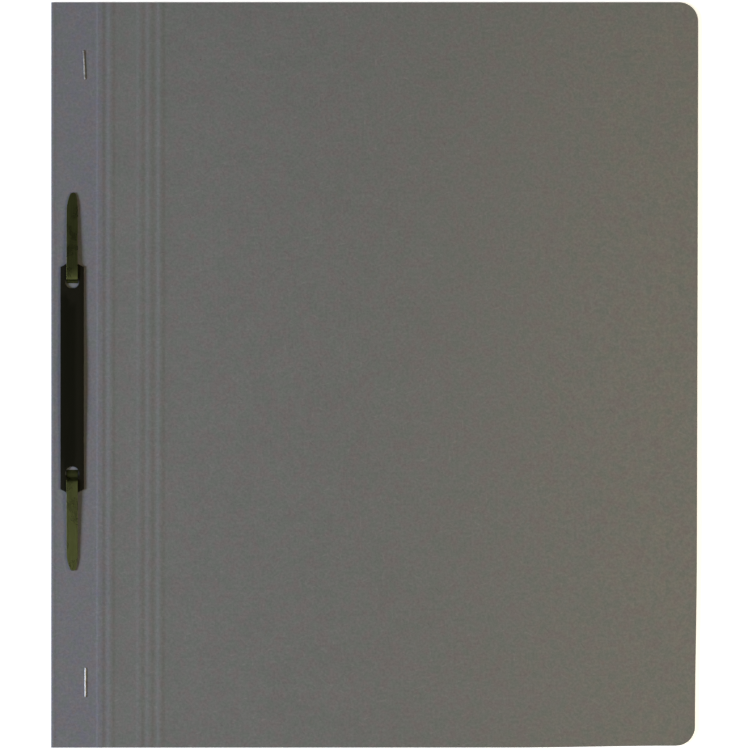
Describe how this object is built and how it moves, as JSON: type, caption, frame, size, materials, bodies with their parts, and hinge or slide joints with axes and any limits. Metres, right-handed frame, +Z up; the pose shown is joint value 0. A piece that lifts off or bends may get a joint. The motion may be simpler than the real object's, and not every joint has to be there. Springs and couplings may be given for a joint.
{
  "type": "flat file folder",
  "caption": "Flat file folder of grey board with a creased front cover, a stapled binding margin, and a metal prong fastener under a black cover strip.",
  "frame": {"origin": "centre of the closed folder's plan, on the surface that its back cover lies on", "axes": "+Z up through the closed folder, +Y along the folded edge towards the head, +X from the folded edge towards the open edge"},
  "size_m": [0.2716, 0.313, 0.0027],
  "materials": {
    "grey_board": "uncoated recycled grey board, matte",
    "lacquered_steel": "olive green lacquer, satin",
    "black_plastic": "black, matte",
    "staple_wire": "galvanised wire, dull"
  },
  "bodies": {
    "back": {"back_cover": "grey_board", "fastener_tongue": "lacquered_steel", "cover_strip": "black_plastic", "staple_upper": "staple_wire", "staple_lower": "staple_wire"},
    "front": {"front_cover": "grey_board"}
  },
  "joints": [
    {"name": "front_cover_fold", "type": "hinge", "parent": "back", "child": "front", "pos_m": [-0.11288, 0, 0.002], "axis": [0, -1, 0], "range_deg": [0, 176]}
  ]
}
